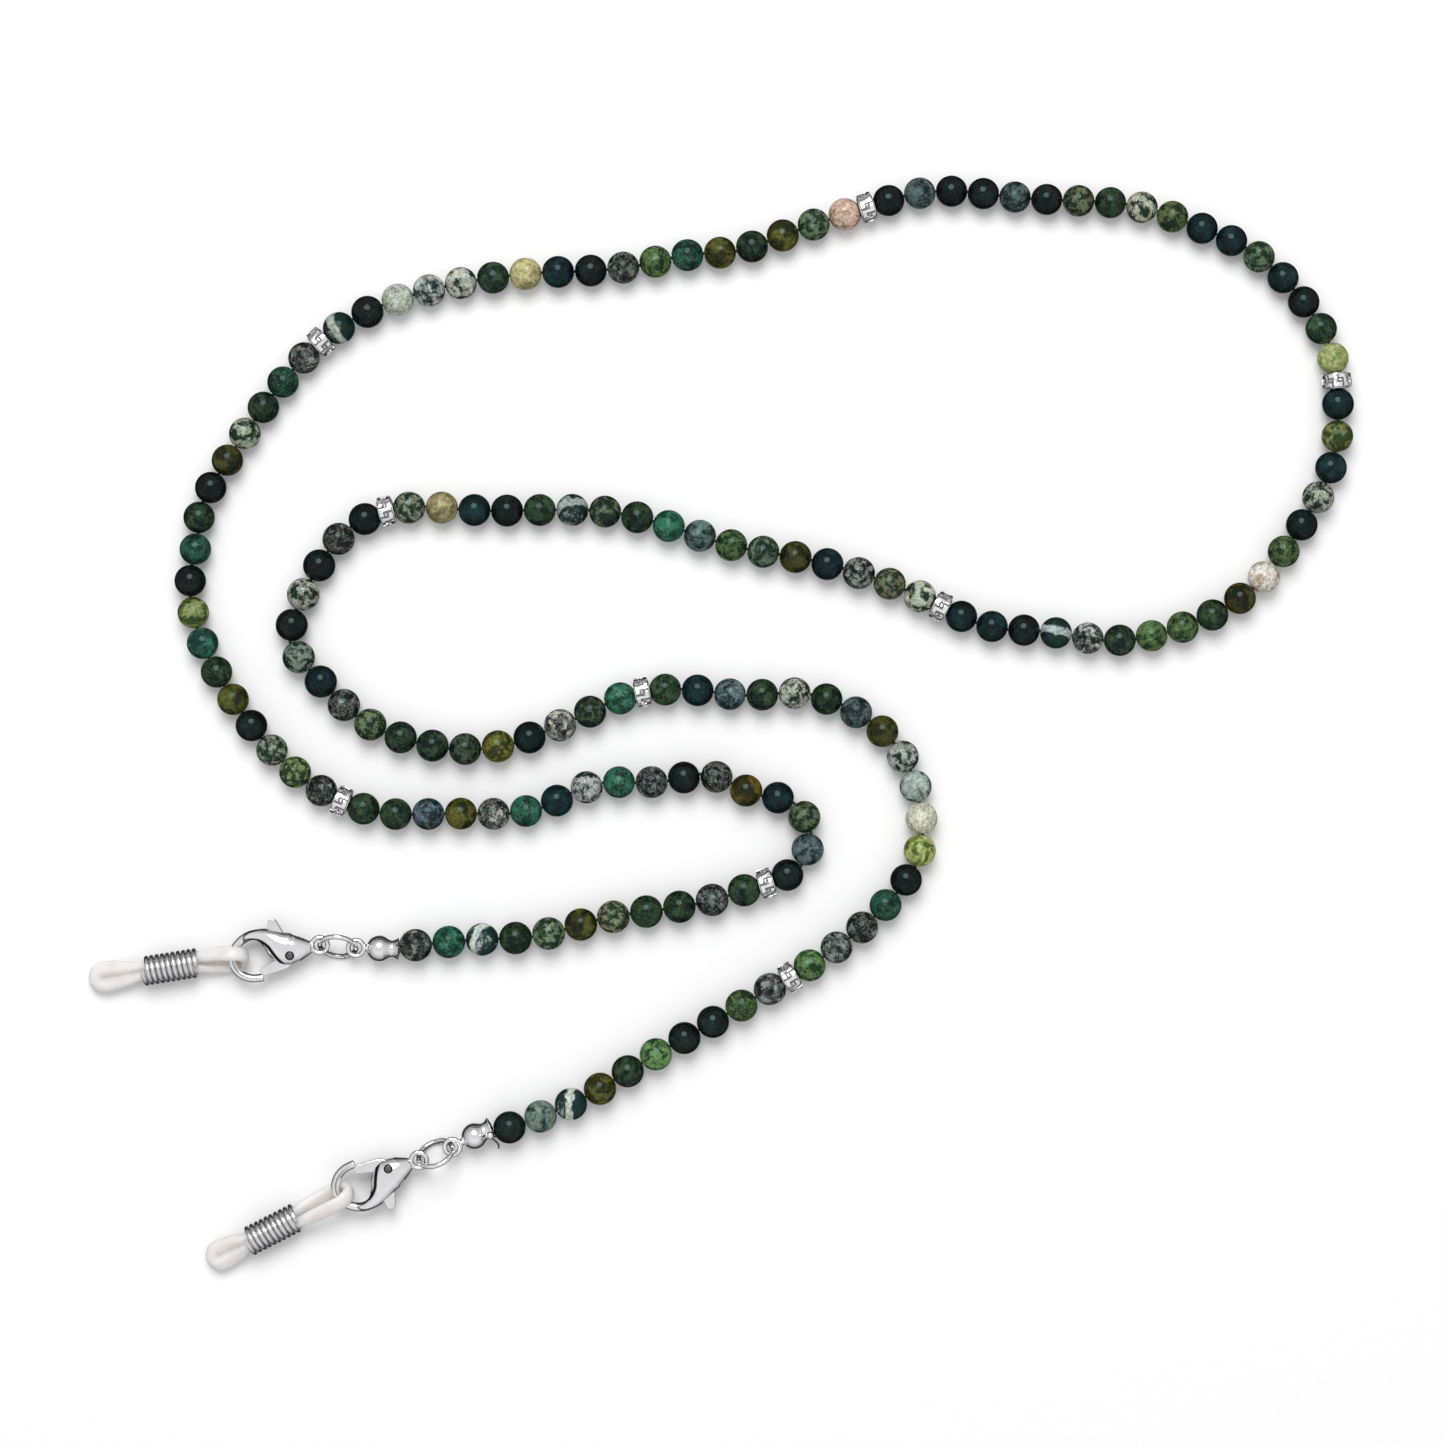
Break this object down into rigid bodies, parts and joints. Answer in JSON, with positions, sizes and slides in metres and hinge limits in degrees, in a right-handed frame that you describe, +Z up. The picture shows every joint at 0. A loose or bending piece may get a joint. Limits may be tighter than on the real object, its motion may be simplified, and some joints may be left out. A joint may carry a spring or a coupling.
{
  "type": "beaded eyeglass retainer chain",
  "caption": "Beaded eyeglass chain: moss-agate beads and silver rondelles on a thread, with a lobster clasp and a silicone temple loop at each end.",
  "frame": {"origin": "on the surface it lies on, under the centre of the laid-out chain", "axes": "+X along the longest side of the lay, +Z up from the surface"},
  "size_m": [0.1546, 0.1338, 0.0042],
  "materials": {
    "moss_agate": "polished",
    "cast_silver": "bright cast plate with an oxidised recess",
    "silver_plate": "mirror polished plate",
    "steel_wire": "bright drawn wire",
    "black_thread": "waxed braid",
    "clear_silicone": "milky translucent satin"
  },
  "bodies": {
    "strand": {"beading_thread": "black_thread", "agate_beads_1": "moss_agate", "agate_beads_2": "moss_agate", "agate_beads_3": "moss_agate", "agate_beads_4": "moss_agate", "agate_beads_5": "moss_agate", "agate_beads_6": "moss_agate", "agate_beads_7": "moss_agate", "agate_beads_8": "moss_agate", "agate_beads_9": "moss_agate", "agate_beads_10": "moss_agate", "rondelle_1": "cast_silver", "rondelle_2": "cast_silver", "rondelle_3": "cast_silver", "rondelle_4": "cast_silver", "rondelle_5": "cast_silver", "rondelle_6": "cast_silver", "rondelle_7": "cast_silver", "rondelle_8": "cast_silver", "rondelle_9": "cast_silver", "thread_knot_a": "black_thread", "thread_tail_a": "black_thread", "calotte_upper_a": "silver_plate", "calotte_lower_a": "silver_plate", "thread_knot_b": "black_thread", "thread_tail_b": "black_thread", "calotte_upper_b": "silver_plate", "calotte_lower_b": "silver_plate", "crimp_ball_b": "silver_plate"},
    "jump_ring_a": {"jump_ring_a": "silver_plate"},
    "clasp_a": {"clasp_body_a": "silver_plate", "clasp_pin_a": "steel_wire", "clasp_spring_a": "steel_wire"},
    "lever_a": {"clasp_lever_a": "silver_plate"},
    "temple_loop_a": {"silicone_loop_a": "clear_silicone"},
    "sleeve_a": {"coil_sleeve_a": "steel_wire"},
    "jump_ring_b": {"jump_ring_b": "silver_plate"},
    "clasp_b": {"clasp_body_b": "silver_plate", "clasp_pin_b": "steel_wire", "clasp_spring_b": "steel_wire"},
    "lever_b": {"clasp_lever_b": "silver_plate"},
    "temple_loop_b": {"silicone_loop_b": "clear_silicone"},
    "sleeve_b": {"coil_sleeve_b": "steel_wire"}
  },
  "joints": [
    {"name": "ring_swing_a", "type": "hinge", "parent": "strand", "child": "jump_ring_a", "pos_m": [-0.04457, -0.02747, 0.002], "axis": [0, 0, 1], "range_deg": [-35, 35]},
    {"name": "clasp_swing_a", "type": "hinge", "parent": "jump_ring_a", "child": "clasp_a", "pos_m": [-0.04897, -0.02711, 0.0022], "axis": [0, 0, 1], "range_deg": [-35, 35]},
    {"name": "lever_open_a", "type": "hinge", "parent": "clasp_a", "child": "lever_a", "pos_m": [-0.05251, -0.02833, 0.0022], "axis": [0, 0, -1], "range_deg": [0, 22], "stiffness_Nm_per_rad": 0.002, "springref_deg": -20.05},
    {"name": "loop_lift_a", "type": "hinge", "parent": "clasp_a", "child": "temple_loop_a", "pos_m": [-0.05959, -0.02883, 0.0022], "axis": [-0.0376, 0.9993, 0], "range_deg": [0, 60]},
    {"name": "sleeve_slide_a", "type": "slide", "parent": "temple_loop_a", "child": "sleeve_a", "axis": [-0.9877, -0.1564, 0], "range_m": [0, 0.003], "deforming": ["silicone_loop_a"]},
    {"name": "ring_swing_b", "type": "hinge", "parent": "strand", "child": "jump_ring_b", "pos_m": [-0.03279, -0.05177, 0.002], "axis": [0, 0, 1], "range_deg": [-35, 35]},
    {"name": "clasp_swing_b", "type": "hinge", "parent": "jump_ring_b", "child": "clasp_b", "pos_m": [-0.03688, -0.05336, 0.0022], "axis": [0, 0, 1], "range_deg": [-35, 35]},
    {"name": "lever_open_b", "type": "hinge", "parent": "clasp_b", "child": "lever_b", "pos_m": [-0.04051, -0.05427, 0.0022], "axis": [0, 0, 1], "range_deg": [0, 22], "stiffness_Nm_per_rad": 0.002, "springref_deg": -20.05},
    {"name": "loop_lift_b", "type": "hinge", "parent": "clasp_b", "child": "temple_loop_b", "pos_m": [-0.04671, -0.0577, 0.0022], "axis": [-0.5348, 0.845, 0], "range_deg": [0, 60]},
    {"name": "sleeve_slide_b", "type": "slide", "parent": "temple_loop_b", "child": "sleeve_b", "axis": [-0.891, -0.454, 0], "range_m": [0, 0.003], "deforming": ["silicone_loop_b"]}
  ]
}
